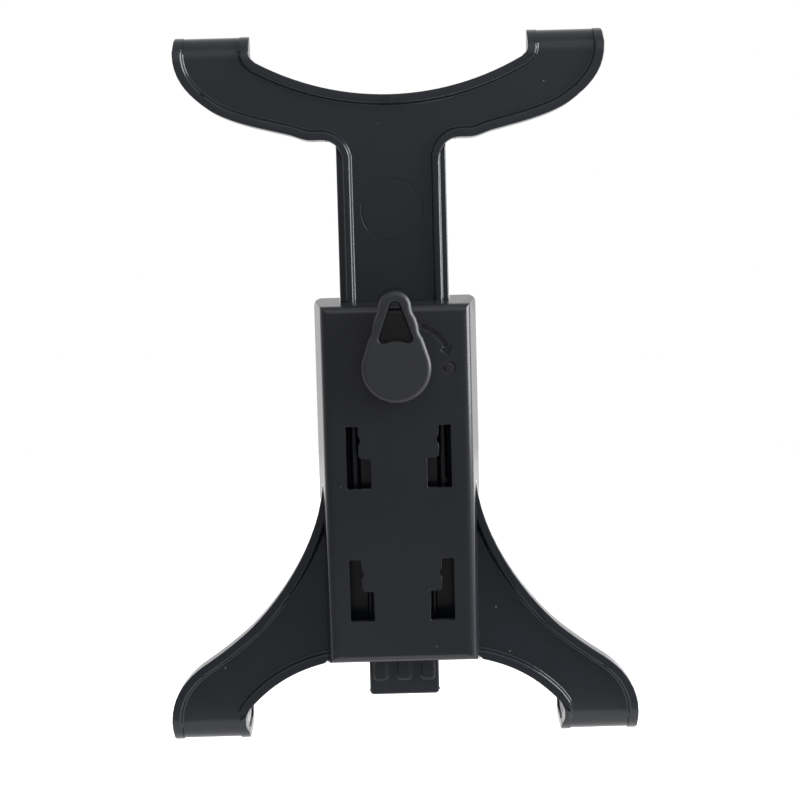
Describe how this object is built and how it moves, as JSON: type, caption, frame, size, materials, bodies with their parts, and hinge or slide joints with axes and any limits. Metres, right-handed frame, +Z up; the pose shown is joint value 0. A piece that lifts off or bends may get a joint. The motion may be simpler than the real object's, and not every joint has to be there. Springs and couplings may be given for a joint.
{
  "type": "headrest tablet mount",
  "caption": "Telescoping tablet cradle for a headrest: arc and leg arms with padded hooks slide in a slotted housing and lock with a quarter-turn knob.",
  "frame": {"origin": "centre of the four hook slots, on the housing's flat rear face", "axes": "+X across the tablet, +Y from the rear face towards the tablet, +Z up along the sliding arm"},
  "size_m": [0.1204, 0.0332, 0.1803],
  "materials": {
    "housing_plastic": "fine textured black",
    "arm_plastic": "glossy black",
    "knob_plastic": "satin black",
    "cam_plastic": "natural nylon",
    "grip_rubber": "soft black",
    "hook_foam": "light grey foam",
    "sheet_rubber": "ribbed anti-slip",
    "screw_steel": "zinc plated"
  },
  "bodies": {
    "cradle": {"rear_housing": "housing_plastic", "lower_bracket": "arm_plastic", "knob_washer": "grip_rubber", "housing_screws": "screw_steel", "front_pad": "sheet_rubber", "lower_left_pad": "hook_foam", "lower_right_pad": "hook_foam"},
    "arm": {"upper_bracket": "arm_plastic", "upper_left_pad": "hook_foam", "upper_right_pad": "hook_foam"},
    "lock": {"lock_knob": "knob_plastic", "lock_cam": "cam_plastic", "cam_shoes": "grip_rubber", "cam_screw": "screw_steel"}
  },
  "joints": [
    {"name": "arm_slide", "type": "slide", "parent": "cradle", "child": "arm", "axis": [0, 0, 1], "range_m": [-0.027, 0.034]},
    {"name": "lock_turn", "type": "hinge", "parent": "cradle", "child": "lock", "pos_m": [0, 0, 0.0396], "axis": [0, 1, 0], "range_deg": [0, 90]}
  ]
}
